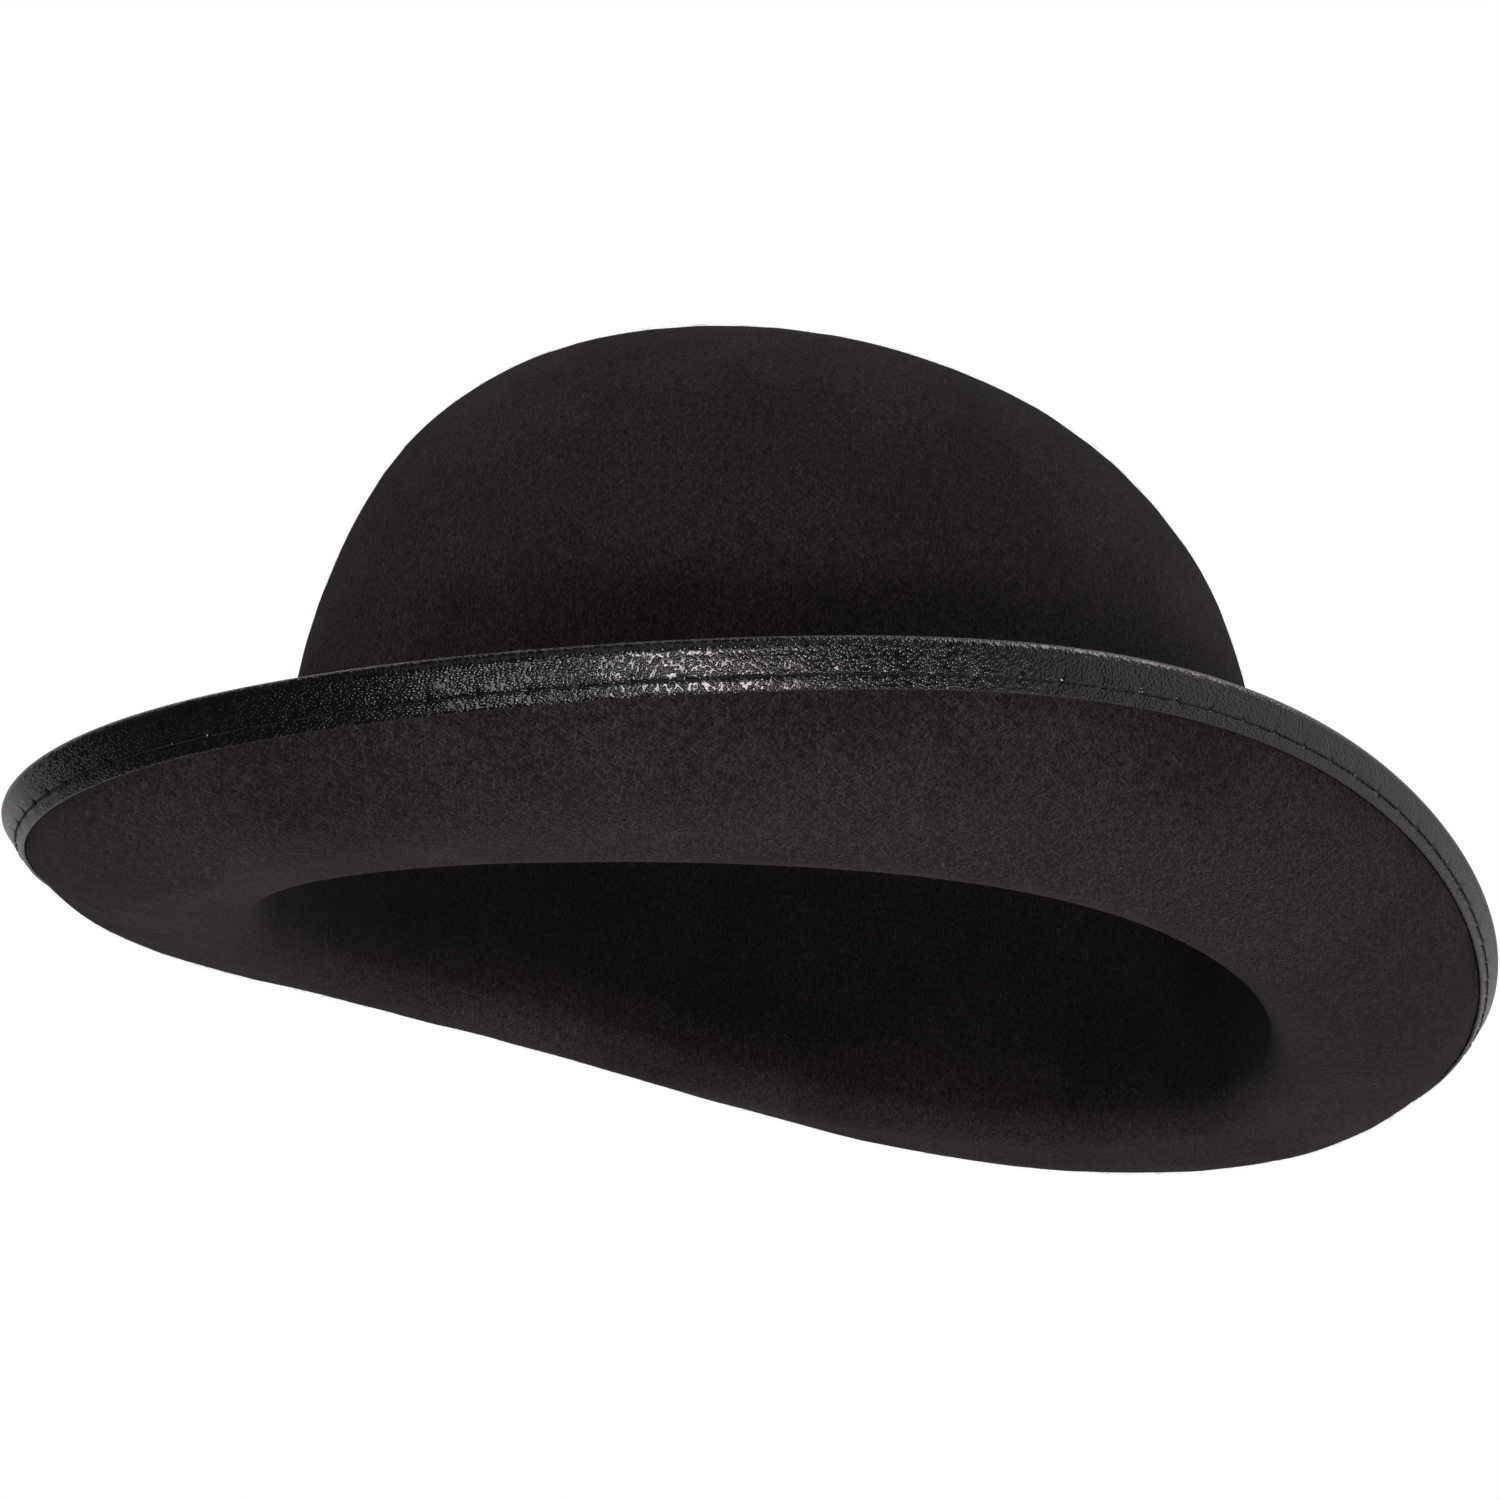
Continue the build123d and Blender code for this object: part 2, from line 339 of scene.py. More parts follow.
class Nodes:
    """Small helper that adds and links the nodes of one material."""

    def __init__(self, name):
        self.material = bpy.data.materials.new(name)
        self.material.use_nodes = True
        self.tree = self.material.node_tree
        self.shader = self.tree.nodes["Principled BSDF"]
        self.position = self.add("ShaderNodeTexCoord").outputs["Object"]

    def add(self, kind, **inputs):
        node = self.tree.nodes.new(kind)
        for key, value in inputs.items():
            if key in node.inputs:
                self.put(node.inputs[key], value)
            else:
                setattr(node, key, value)
        return node

    def put(self, socket, value):
        if isinstance(value, bpy.types.NodeSocket):
            self.tree.links.new(value, socket)
        else:
            socket.default_value = value

    def noise(self, vector, scale, detail=3.0, roughness=0.6):
        node = self.add(
            "ShaderNodeTexNoise", Vector=vector, Scale=scale, Detail=detail, Roughness=roughness
        )
        return node.outputs["Fac"]

    def math(self, operation, a, b=0.0, clamp=False):
        node = self.add("ShaderNodeMath", operation=operation, use_clamp=clamp)
        self.put(node.inputs[0], a)
        self.put(node.inputs[1], b)
        return node.outputs[0]

    def remap(self, value, low, high, to_low=0.0, to_high=1.0):
        node = self.add("ShaderNodeMapRange", interpolation_type="SMOOTHSTEP")
        for index, entry in enumerate((value, low, high, to_low, to_high)):
            self.put(node.inputs[index], entry)
        return node.outputs[0]

    def blend(self, factor, first, second):
        node = self.add("ShaderNodeMix", data_type="RGBA")
        self.put(node.inputs[0], factor)
        self.put(node.inputs[6], first)
        self.put(node.inputs[7], second)
        return node.outputs[2]

    def fibres(self, lean, length, width, offset):
        """Light strokes of single fibres that run along the felt's profile, leaning sideways."""
        along = self.add("ShaderNodeSeparateXYZ", Vector=self.lay).outputs["Z"]
        turned = self.add("ShaderNodeVectorRotate", rotation_type="Z_AXIS")
        self.put(turned.inputs["Vector"], self.lay)
        self.put(turned.inputs["Angle"], self.math("MULTIPLY", along, lean / mean_radius))
        scaled = self.add("ShaderNodeMapping", vector_type="TEXTURE")
        self.put(scaled.inputs["Vector"], turned.outputs[0])
        self.put(scaled.inputs["Location"], offset)
        self.put(scaled.inputs["Scale"], (width, width, length))
        curly = self.add(
            "ShaderNodeTexNoise", Vector=scaled.outputs[0], Scale=1.0, Detail=2.0, Distortion=1.1
        )
        return curly.outputs["Fac"]

    def bump(self, height, distance, strength=1.0, normal=None):
        node = self.add("ShaderNodeBump", Height=height, Distance=distance, Strength=strength)
        if normal is not None:
            self.put(node.inputs["Normal"], normal)
        return node.outputs[0]

    def finish(self, **sockets):
        for key, value in sockets.items():
            self.put(self.shader.inputs[key.replace("_", " ")], value)
        return self.material


def felt_material():
    """Black needle felt: crossing short fibres, a soft nap, a few pale stray fibres and painted shade
    inside the crown.
    """
    n = Nodes("felt")
    n.lay = n.add("ShaderNodeAttribute", attribute_name="fibre_lay").outputs["Vector"]
    strokes = [
        n.fibres(0.15, 1.0 * MM, 0.22 * MM, (0.0, 0.0, 0.0)),
        n.fibres(-0.8, 0.8 * MM, 0.23 * MM, (0.31, 0.07, 0.11)),
        n.fibres(1.2, 0.7 * MM, 0.21 * MM, (0.13, 0.27, 0.41)),
    ]
    over = n.math("MAXIMUM", strokes[0], strokes[1])
    over = n.math("MAXIMUM", over, n.math("MULTIPLY", strokes[2], 0.97))
    nap = n.noise(n.position, 1600.0, 3.0, 0.6)
    patches = n.noise(n.position, 30.0, 2.0)
    light = n.remap(over, 0.50, 0.74)
    base = n.blend(light, felt_shadow, felt_tips)
    shade = n.remap(patches, 0.35, 0.65, 0.85, 1.15)
    # Painted shade: inside the crown the felt's colour is darkened, most on one side.
    inside = n.add("ShaderNodeAttribute", attribute_name="inside").outputs["Fac"]
    shade = n.math("MULTIPLY", shade, n.remap(inside, 0.0, 1.0, 1.0, painted_shade_tone))
    tone = n.add("ShaderNodeVectorMath", operation="SCALE")
    n.put(tone.inputs[0], base)
    n.put(tone.inputs["Scale"], shade)
    stray = n.fibres(0.4, 1.1 * MM, 0.16 * MM, (0.5, 0.41, 0.3))
    stray = n.math("MULTIPLY", n.remap(stray, 0.74, 0.80), 0.6)
    base = n.blend(stray, tone.outputs[0], stray_tips)
    relief = n.math("ADD", over, n.math("MULTIPLY", nap, 0.5))
    return n.finish(
        Base_Color=base,
        Roughness=0.95,
        Specular_IOR_Level=0.1,
        Sheen_Weight=0.02,
        Sheen_Roughness=0.6,
        Normal=n.bump(relief, 0.12 * MM, 0.8),
    )


def leatherette_material():
    """Embossed leatherette: small uneven raised cells with low creases between them, darkened by
    painted shade.
    """
    n = Nodes("leatherette")
    warp = n.add("ShaderNodeTexNoise", Vector=n.position, Scale=300.0, Detail=1.0)
    bent = n.add("ShaderNodeVectorMath", operation="MULTIPLY_ADD")
    n.put(bent.inputs[0], warp.outputs["Color"])
    n.put(bent.inputs[1], (grain_warp, grain_warp, grain_warp))
    n.put(bent.inputs[2], n.position)
    turned = n.add("ShaderNodeVectorRotate", rotation_type="EULER_XYZ", Vector=bent.outputs[0])
    turned.inputs["Rotation"].default_value = grain_turn
    longer = n.add("ShaderNodeMapping", Vector=turned.outputs[0], Scale=(1.0, 1.0, grain_stretch))
    cells = n.add(
        "ShaderNodeTexVoronoi",
        feature="SMOOTH_F1",
        Vector=longer.outputs[0],
        Scale=grain_scale,
        Smoothness=0.25,
        Randomness=0.75,
    )
    raised = n.remap(cells.outputs["Distance"], 0.68, 0.12)
    fine = n.noise(n.position, 5200.0, 1.0)
    wrinkle = n.noise(n.position, 420.0, 3.0)
    height = n.math("ADD", raised, n.math("MULTIPLY", fine, 0.12))
    # Painted shade: the creases between the raised cells get the darker colour.
    base = n.blend(raised, painted_crease_shade, leatherette_cells)
    rough = n.remap(wrinkle, 0.3, 0.7, leatherette_smoothest, leatherette_roughest)
    return n.finish(
        Base_Color=base,
        Roughness=rough,
        Specular_IOR_Level=0.95,
        Normal=n.bump(height, grain_height, 1.0),
    )


def thread_material():
    n = Nodes("thread")
    lint = n.noise(n.position, 2600.0, 3.0)
    base = n.blend(n.remap(lint, 0.4, 0.65), (0.0025, 0.0023, 0.0022, 1), (0.013, 0.012, 0.0115, 1))
    return n.finish(
        Base_Color=base, Roughness=0.62, Sheen_Weight=0.04, Normal=n.bump(lint, 0.05 * MM, 0.6)
    )


def fuzz_material():
    n = Nodes("fuzz")
    tone = n.remap(n.noise(n.position, 700.0, 1.0), 0.35, 0.65)
    base = n.blend(tone, (0.012, 0.011, 0.0105, 1), (0.06, 0.057, 0.055, 1))
    return n.finish(Base_Color=base, Roughness=0.75, Specular_IOR_Level=0.3)


def ribbon_material():
    """Black grosgrain: fine threads along the ribbon over the ribs that the mesh has."""
    n = Nodes("ribbon")
    drawn = n.add("ShaderNodeMapping", Vector=n.position, Scale=(250.0, 250.0, 4200.0))
    threads = n.noise(drawn.outputs[0], 1.0, 2.0)
    weave = n.noise(n.position, 1500.0, 2.0)
    base = n.blend(n.remap(threads, 0.35, 0.65), (0.006, 0.006, 0.0065, 1), (0.017, 0.017, 0.018, 1))
    height = n.math("ADD", threads, n.math("MULTIPLY", weave, 0.3))
    return n.finish(
        Base_Color=base,
        Roughness=n.remap(weave, 0.3, 0.7, 0.42, 0.56),
        Specular_IOR_Level=0.45,
        Sheen_Weight=0.15,
        Sheen_Roughness=0.4,
        Normal=n.bump(height, 0.08 * MM, 0.7),
    )


felt = felt_material()
leatherette = leatherette_material()
thread = thread_material()
fuzz = fuzz_material()
ribbon = ribbon_material()


# ---------------------------------------------------------------- felt body


def waves(points, count, shortest, longest):
    """Gentle unevenness of moulded felt: a sum of random plane waves."""
    total = np.zeros(points.shape[:-1])
    for _ in range(count):
        heading = random.normal(size=3)
        heading *= tau / random.uniform(shortest, longest) / np.linalg.norm(heading)
        total += np.sin(points @ heading + random.uniform(0, tau))
    return total / np.sqrt(count)


def felt_grid(angles, lift):
    """One face of the felt from near the top of the crown out to the brim edge."""
    turn = np.linspace(pi / 2 - crown_top_gap, 0, crown_rows)
    rises = np.sin(turn) ** crown_row_spread
    parts = np.linspace(0, 1, brim_rows + 1)[1:]
    crown = crown_point(angles[None, :], rises[:, None], lift)
    brim = brim_point(angles[None, :], brim_length(angles)[None, :] * parts[:, None], lift)
    return np.concatenate([crown, brim])


def felt_skin(angles):
    """Both faces of the felt, the round lip between them and the unevenness of moulded felt."""
    outer = felt_grid(angles, felt_thickness)
    inner = felt_grid(angles, 0.0)
    edge = brim_length(angles)[None, :]
    round_off = np.array([0.35, 1.1, 1.85])[:, None] * MM
    stand_out = np.array([0.35, 0.45, 0.35])[:, None] * MM
    lip = brim_point(angles[None, :], edge + stand_out, felt_thickness - round_off)
    skin = np.concatenate([outer, lip, inner[::-1]])
    bulge = broad_bulge * waves(skin, count=24, shortest=18 * MM, longest=60 * MM)
    bulge += fine_bulge * waves(skin, count=30, shortest=5 * MM, longest=12 * MM)
    outwards = skin - np.array([0, 0, bulge_middle])
    outwards /= np.linalg.norm(outwards, axis=-1, keepdims=True)
    return skin + outwards * bulge[..., None]


def fibre_lay(skin, angles):
    """Where a fibre lies: round a drum of the head's mean radius, and along the profile."""
    steps = np.linalg.norm(np.diff(skin[:, 0], axis=0), axis=-1)
    along = np.concatenate([[0], np.cumsum(steps)])[:, None]
    x, y = mean_radius * np.cos(angles), mean_radius * np.sin(angles)
    return np.stack(np.broadcast_arrays(x[None, :], y[None, :], along), axis=-1)


def painted_shade_depth(vertices, angles):
    """Depth of the painted shade: 0 outside the crown and up to 1 inside it, rising over the rolled
    corner.
    """
    angle = np.append(np.resize(angles, len(vertices) - 2), [0, 0])
    above_corner = vertices[:, 2] - origin_shift[2] - corner_height(angle)
    depth = np.clip((above_corner - shade_start) / shade_rise, 0, 1)
    depth[: -2 - (crown_rows + shaded_corner_rows) * len(angles)] = 0
    depth[-2] = 0
    return depth * (1 - shade_change + shade_change * np.cos(angle - painted_shade_darkest_side))


def make_felt():
    angles = np.linspace(0, tau, felt_columns, endpoint=False)
    skin = felt_skin(angles)
    rows, columns = skin.shape[:2]
    tops = [crown_point(0.0, 1.0, lift) for lift in (felt_thickness, 0.0)]
    vertices = np.concatenate([skin.reshape(-1, 3), tops])
    faces = grid_faces(rows, columns, close_columns=True).tolist()
    outer_top = rows * columns
    last_row = outer_top - columns
    for column in range(columns):
        after = (column + 1) % columns
        faces.append([outer_top, after, column])
        faces.append([outer_top + 1, last_row + column, last_row + after])
    piece = mesh_object("felt", vertices, faces, felt)
    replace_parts(piece, "felt_body")
    lay = piece.data.attributes.new("fibre_lay", "FLOAT_VECTOR", "POINT")
    values = np.concatenate([fibre_lay(skin, angles).reshape(-1, 3), np.zeros((2, 3))])
    lay.data.foreach_set("vector", values.astype(np.float32).ravel())
    # The inside attribute carries the painted shade inside the crown.
    inside = piece.data.attributes.new("inside", "FLOAT", "POINT")
    inside.data.foreach_set("value", painted_shade_depth(vertices, angles).astype(np.float32))


# ---------------------------------------------------------------- leatherette edge and seam


def seam_holes():
    """Angles of the needle holes, evenly spaced along the seam from the strip's joint."""
    fine = strip_joint + np.linspace(0, tau, 7201)
    above = 2 * strip_thickness
    line = brim_point(fine, brim_length(fine) - strip_under + stitch_from_strip_edge, -above)
    travelled = np.concatenate([[0], np.cumsum(np.linalg.norm(np.diff(line, axis=0), axis=1))])
    count = round(travelled[-1] / stitch_pitch)
    return np.interp(np.arange(count + 1) * travelled[-1] / count, travelled, fine)


holes = seam_holes()
seam_back = strip_under - stitch_from_strip_edge

# Mesh of the strip: columns as parts of a stitch, closest at the needle holes, and rows as
# millimetres from the strip's own edge, closest at the cut edges, the seam and the fold
hole_spacing = np.array([0, 0.03, 0.06, 0.1, 0.15, 0.25, 0.4, 0.6, 0.75, 0.85, 0.9, 0.94, 0.97])
under_rows = (0, 0.1, 0.25, 0.55, 1.0, 1.4, 1.7, 1.9, 2.05, 2.18, 2.3, 2.42, 2.55)
under_rows += (2.7, 2.9, 3.2, 3.6, 4.1, 4.5, 4.85, 5.15, 5.4, 5.6, 5.75, 5.9, 6.1)
over_rows = (0, 0.1, 0.25, 0.6, 1.0, 1.4, 1.65, 1.8, 1.9, 2.0, 2.1, 2.25, 2.5, 2.9)
over_rows += (3.4, 4.2, 5.0, 5.5, 5.8)
fold_steps = 10

# Relief of the strip; the bead's place on the fold is an angle from the underside
channel_depth = 0.09 * MM
pit_depth = 0.24 * MM
pull_depth = 0.07 * MM
valley_depth = 0.05 * MM
edge_rounding = 0.10 * MM
bead_height = 0.15 * MM
bead_angle = 0.7
bead_spread = 0.5

# Stitches: the gap and the rise are parts of the pitch, the twist moves on from one to the next
stitch_points = 22
stitch_gap = 0.06
stitch_rise = 0.13
stitch_sink = 0.02 * MM
stitch_dip = 0.45 * MM
stitch_sway = 0.06 * MM
stitch_twists = 3.4
twist_shift = 1.7
tail_twists = 2.6
tail_fray = 2.5
tail_start = 0.3 * MM
tail_lean = 0.7 * MM
tail_curl = 0.4 * MM


def climb(angle, joint, ramp_angle, step_up):
    """How far a band has climbed on to its own start."""
    return step_up * ramp(angle, joint + tau - ramp_angle, joint + tau)


def seam_phase(angle):
    """Stitch count from the joint: whole numbers are needle holes."""
    return np.interp((angle - strip_joint) % tau, holes - strip_joint, np.arange(len(holes)))


def pucker(angle, from_seam):
    """How deep the sewing pulls the strip in: a narrow channel with a pit at every hole."""
    off_hole = np.abs(seam_phase(angle) - np.round(seam_phase(angle))) * stitch_pitch
    channel = channel_depth * hump(from_seam, 0.24 * MM)
    pit = pit_depth * hump(off_hole, 0.36 * MM) * hump(from_seam + 0.2 * MM, 0.5 * MM)
    pull = pull_depth * hump(off_hole, 1.3 * MM) * hump(from_seam, 1.9 * MM)
    return channel + pit + pull


def binding_dent(angles, back, reach):
    """Relief of the strip's face at a distance back from the felt edge: seam, valley, edge."""
    valley = valley_depth * hump(back - 0.25 * MM, 0.55 * MM)
    rounded = edge_rounding * hump(reach - back, 0.14 * MM)
    return pucker(angles, back - seam_back) + valley + rounded


def make_binding():
    phases = np.arange(len(holes) - 1)[:, None] + hole_spacing
    angles = np.interp(phases.ravel(), np.arange(len(holes)), holes)
    angles = np.concatenate([angles, angles[angles < strip_joint + strip_lap] + tau])
    edge = brim_length(angles)
    up = strip_gap + climb(angles, strip_joint, strip_ramp, strip_thickness + strip_gap)
    rows = []
    for back in (strip_under - from_edge * MM for from_edge in under_rows):
        dent = binding_dent(angles, back, strip_under)
        rows.append(brim_point(angles, edge - back, -(up + strip_thickness - dent)))
    for bend in np.linspace(0, pi, fold_steps + 1)[1:-1]:
        bead = bead_height * hump(bend - bead_angle, bead_spread)
        radius = felt_thickness / 2 + up + strip_thickness + bead
        lift = felt_thickness / 2 - radius * cos(bend)
        rows.append(brim_point(angles, edge + radius * sin(bend), lift))
    for back in (strip_over - from_edge * MM for from_edge in over_rows[::-1]):
        dent = binding_dent(angles, back, strip_over)
        rows.append(brim_point(angles, edge - back, felt_thickness + up + strip_thickness - dent))
    for back in (strip_over, strip_over / 2, 0.0):
        rows.append(brim_point(angles, edge - back, felt_thickness + up))
    for bend in (0.75 * pi, 0.5 * pi, 0.25 * pi):
        radius = felt_thickness / 2 + up
        lift = felt_thickness / 2 - radius * cos(bend)
        rows.append(brim_point(angles, edge + radius * sin(bend), lift))
    for back in (0.0, strip_under / 2, strip_under):
        rows.append(brim_point(angles, edge - back, -up))
    skin = np.stack(rows)
    count, columns = skin.shape[:2]
    faces = grid_faces(count, columns, close_rows=True).tolist()
    faces.append([row * columns for row in reversed(range(count))])
    faces.append([row * columns + columns - 1 for row in range(count)])
    piece = mesh_object("binding", skin.reshape(-1, 3), faces, leatherette)
    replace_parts(piece, "edge_binding")
    rim = brim_point(angles, edge, felt_thickness / 2)


def stitch_paths(side, strands):
    """Twisted strands of every stitch: each rises out of one hole and dips into the next."""
    phase = np.linspace(stitch_gap, 1 - stitch_gap, stitch_points)
    number = np.arange(len(holes) - 1)[:, None]
    angles = np.interp(number + phase, np.arange(len(holes)), holes)
    edge = brim_length(angles)
    seam = edge - strip_under + stitch_from_strip_edge
    lapped = angles + tau * (angles < strip_joint + strip_lap)
    raised = climb(lapped, strip_joint, strip_ramp, strip_thickness + strip_gap)
    arch = ramp(np.minimum(phase, 1 - phase), 0, stitch_rise)[None, :]
    off = strip_gap + strip_thickness + raised - stitch_sink - (1 - arch) * stitch_dip
    sway = random.normal(size=(len(holes) - 1, 2)) * stitch_sway
    drift = sway[:, :1] * (1 - phase) + sway[:, 1:] * phase
    paths = []
    for strand in range(strands):
        twist = tau * (phase[None, :] * stitch_twists + strand / strands) + number * twist_shift
        wide = strand_offset * np.cos(twist)
        deep = strand_offset * np.sin(twist)
        lift = -(off + deep) if side < 0 else felt_thickness + off + deep
        paths.append(brim_point(angles, seam + drift + wide, lift))
    return np.concatenate(paths)


def tail_paths(strands):
    """Loose end of the seam thread, hanging from the first hole."""
    phase = np.linspace(0, 1, stitch_points)
    start = brim_point(holes[0], brim_length(holes[0]) - seam_back, -strip_gap - strip_thickness)
    paths = []
    for strand in range(strands):
        twist = tau * (phase * tail_twists + strand / strands)
        spread = strand_offset * (1 + tail_fray * phase**4)
        x = start[0] + spread * np.cos(twist) - tail_lean * phase**2
        y = start[1] + spread * np.sin(twist) + tail_curl * np.sin(3 * phase)
        paths.append(np.stack([x, y, start[2] + tail_start - thread_tail * phase], axis=-1))
    return np.stack(paths)


def make_threads():
    """The seam's two threads, each of two twisted strands."""
    under = np.concatenate([stitch_paths(-1, 2), tail_paths(2)])
    over = stitch_paths(1, 2)
    for name, paths, node in (
        ("needle_stitches", under, "needle_thread"),
        ("bobbin_stitches", over, "bobbin_thread"),
    ):
        vertices, faces = tube_mesh(paths, strand_radius, 6)
        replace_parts(mesh_object(name, vertices, faces, thread), node)


# ---------------------------------------------------------------- hatband and bow


def rib(distance):
    """Grosgrain relief: rounded ribs across the ribbon."""
    return rib_depth * np.abs(np.sin(pi * distance / rib_pitch))


def ribbon_strip(name, front, back):
    """Closed ribbon from its front and back faces, given as rows across and columns along."""
    rows, columns = front.shape[:2]
    skin = np.concatenate([front, back[::-1]])
    faces = grid_faces(2 * rows, columns, close_rows=True).tolist()
    for column in (0, columns - 1):
        for step in range(rows - 1):
            quad = [
                step * columns + column,
                (step + 1) * columns + column,
                (2 * rows - 2 - step) * columns + column,
                (2 * rows - 1 - step) * columns + column,
            ]
            faces.append(quad if column else quad[::-1])
    return mesh_object(name, skin.reshape(-1, 3), faces, ribbon)


def make_hatband():
    columns = 3600
    angles = np.linspace(ribbon_joint, ribbon_joint + tau + ribbon_lap, columns)
    up = felt_thickness + ribbon_gap
    up = up + climb(angles, ribbon_joint, ribbon_ramp, ribbon_thickness + ribbon_gap)
    line = wall_point(angles, ribbon_above_corner, up)
    travelled = np.concatenate([[0], np.cumsum(np.linalg.norm(np.diff(line, axis=0), axis=1))])
    front, back = [], []
    for part in np.linspace(0, 1, 9):
        height = ribbon_above_corner + ribbon_width * part
        hem = hump(min(part, 1 - part) * ribbon_width, hem_width)
        relief = rib(travelled) * (1 - hem_flattening * hem)
        front.append(wall_point(angles, height, up + ribbon_thickness - rib_depth + relief))
        back.append(wall_point(angles, height, up))
    piece = ribbon_strip("hatband_ribbon", np.stack(front), np.stack(back))
    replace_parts(piece, "hatband")


def make_tacks():
    """Short upright stitches that hold the ribbon's upper edge to the crown."""
    phase = np.linspace(0, 1, 9)
    dip = np.abs(2 * phase - 1) ** 6 * tack_dip
    paths = []
    for number in range(tack_count):
        angle = tau * (number + 0.4) / tack_count + random.normal() * tack_scatter
        heights = ribbon_above_corner + ribbon_width - tack_below_top - tack_length * phase
        lift = felt_thickness + ribbon_gap + ribbon_thickness + thread_radius - dip
        paths.append(wall_point(angle + tack_slant * phase, heights, lift))
    vertices, faces = tube_mesh(paths, thread_radius * 0.8, 8)
    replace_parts(mesh_object("ribbon_tacks", vertices, faces, thread), "band_tacks")


def bow_point(along, above, lift):
    """A point on the bow: distance along the crown from the knot, height and lift."""
    return wall_point(along / (head_length / 2), above, lift)


def make_bow():
    """One closed loop of ribbon, puffed at both ends and gathered under the knot."""
    columns, rows = 720, 17
    turn = np.linspace(0, tau, columns, endpoint=False)
    along = bow_half_length * np.sign(np.cos(turn)) * np.abs(np.cos(turn)) ** bow_roundness
    reach = np.abs(along) / bow_half_length
    front = ramp(np.sin(turn), -0.45, 0.45)
    puff = np.sin(pi * reach**bow_roundness) ** bow_roundness
    puff = bow_pinch + (bow_depth - bow_pinch) * puff
    gather = hump(along, gather_width)
    middle = ribbon_above_corner + ribbon_width / 2
    step = np.hypot(np.diff(along, append=along[0]), np.diff(front * puff, append=0.0))
    travelled = np.cumsum(step)
    sheets = {}
    for side in (0.0, 1.0):
        grid = []
        for part in np.linspace(-0.5, 0.5, rows):
            tuck = 1 - bow_waist * gather
            pleat = pleat_depth * np.cos(3 * tau * part) * gather * front
            hem = hump((0.5 - abs(part)) * bow_width, hem_width)
            relief = rib(travelled) * (1 - hem_flattening * hem) * side
            outward = side * (ribbon_thickness - rib_depth) + relief
            lift = bow_lift + front * (puff - ribbon_thickness) + pleat
            lift = lift + outward * (2 * front - 1) + ribbon_thickness * (1 - front)
            stretch = 1 + outward * (1 - np.abs(2 * front - 1)) / bow_half_length
            above = middle + part * bow_width * tuck
            grid.append(bow_point(along * stretch, above, lift))
        sheets[side] = np.stack(grid)
    skin = np.concatenate([sheets[1.0], sheets[0.0][::-1]])
    quads = grid_faces(2 * rows, columns, close_rows=True, close_columns=True)
    piece = mesh_object("bow_ribbon", skin.reshape(-1, 3), quads, ribbon)
    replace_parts(piece, "bow_loops")


def make_knot():
    """Narrow band of ribbon wrapped round the middle of the bow."""
    columns, rows = 300, 13
    turn = np.linspace(0, tau, columns, endpoint=False)
    middle = ribbon_above_corner + ribbon_width / 2
    high = np.sign(np.cos(turn)) * np.abs(np.cos(turn)) ** knot_squareness[0]
    deep = np.sign(np.sin(turn)) * np.abs(np.sin(turn)) ** knot_squareness[1]
    grid = {}
    for side in (0.0, 1.0):
        inset = ribbon_thickness * (1 - side)
        sheet = []
        for part in np.linspace(-0.5, 0.5, rows):
            crown = knot_crown * (1 - (2 * part) ** 2) * (deep > 0)
            half_high = knot_height / 2 - inset - knot_trim
            half_deep = knot_depth / 2 - inset
            flattened = 1 - hem_flattening * (abs(part) == 0.5)
            relief = side * rib(knot_height * turn / pi) * flattened
            above = middle + high * half_high
            lift = knot_lift + knot_depth / 2 + deep * (half_deep + relief) + crown * side
            along = part * knot_length * (1 - knot_waist * np.abs(deep))
            sheet.append(bow_point(along, above, lift))
        grid[side] = np.stack(sheet)
    skin = np.concatenate([grid[1.0], grid[0.0][::-1]])
    quads = grid_faces(2 * rows, columns, close_rows=True, close_columns=True)
    piece = mesh_object("knot_ribbon", skin.reshape(-1, 3), quads, ribbon)
    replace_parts(piece, "bow_knot")


# ---------------------------------------------------------------- loose fibres


def make_fuzz(name, surface, lengths):
    """Fine stray fibres that lie on the felt or stand a little off it."""
    count = len(lengths)
    steps = np.linspace(0, 1, 4)[None, :]
    heading = random.uniform(-1.0, 1.0, (count, 1)) + pi * random.integers(0, 2, (count, 1))
    bend = random.normal(size=(count, 1)) * fuzz_curl
    rise = random.uniform(fuzz_flattest, fuzz_steepest, (count, 1)) * lengths[:, None]
    way = heading + bend * steps
    sideways = lengths[:, None] * steps * np.sin(way)
    onward = lengths[:, None] * steps * np.cos(way)
    off = fuzz_off + rise * steps * (1.4 - 0.8 * steps)
    paths = surface(sideways, onward, off)
    vertices, faces = tube_mesh(paths, fuzz_radius, 3)
    mesh_object(name, vertices, faces, fuzz)


def crown_surface(count):
    angle = random.uniform(0, tau, (count, 1))
    rise = random.uniform(0.02, 1, (count, 1)) ** 0.8

    def surface(sideways, onward, off):
        part = np.clip(rise + onward / crown_height, 0, 0.999)
        return crown_point(angle + sideways / mean_radius, part, felt_thickness + off)

    return surface


def brim_surface(count, side):
    angle = random.uniform(0, tau, (count, 1))
    part = random.uniform(0.02, clear_of_strip, (count, 1))

    def surface(sideways, onward, off):
        lift = felt_thickness + off if side > 0 else -off
        turned = angle + sideways / brim_radius
        return brim_point(turned, brim_length(angle) * part + onward, lift)

    return surface


def scatter_fuzz():
    lengths = random.uniform(fuzz_shortest, fuzz_longest, fuzz_count) * MM
    make_fuzz("fuzz_crown", crown_surface(fuzz_count), lengths)
    make_fuzz("fuzz_under", brim_surface(fuzz_count, -1), lengths)
    make_fuzz("fuzz_over", brim_surface(fuzz_count // 2, 1), lengths[: fuzz_count // 2])


# ---------------------------------------------------------------- camera, light, floor

